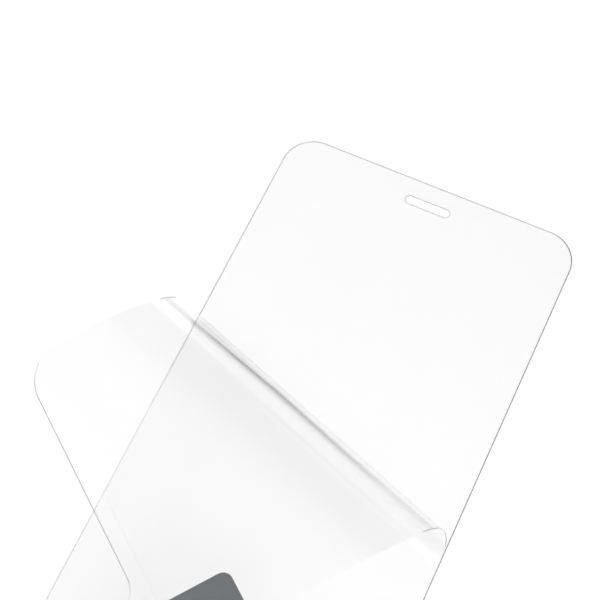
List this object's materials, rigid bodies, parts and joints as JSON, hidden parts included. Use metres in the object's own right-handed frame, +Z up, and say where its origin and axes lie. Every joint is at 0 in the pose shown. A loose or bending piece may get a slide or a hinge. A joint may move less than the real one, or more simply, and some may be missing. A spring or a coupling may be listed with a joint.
{
  "type": "phone screen protector",
  "caption": "Clear rounded glass pane with a speaker slot, its clear release film curled back from the top, with a pull tab and a plain grey label.",
  "frame": {"origin": "centre of the pane's touch face, which lies on the surface", "axes": "+Y along the pane towards its speaker slot, +X to the right seen from above, +Z up out of the adhesive face"},
  "size_m": [0.0908, 0.146, 0.0185],
  "materials": {
    "clear_glass": "polished",
    "clear_film": "glossy clear",
    "grey_label": "matte"
  },
  "bodies": {
    "root": {"glass_pane": "clear_glass", "release_liner": "clear_film", "pull_tab_label": "grey_label"}
  },
  "joints": []
}
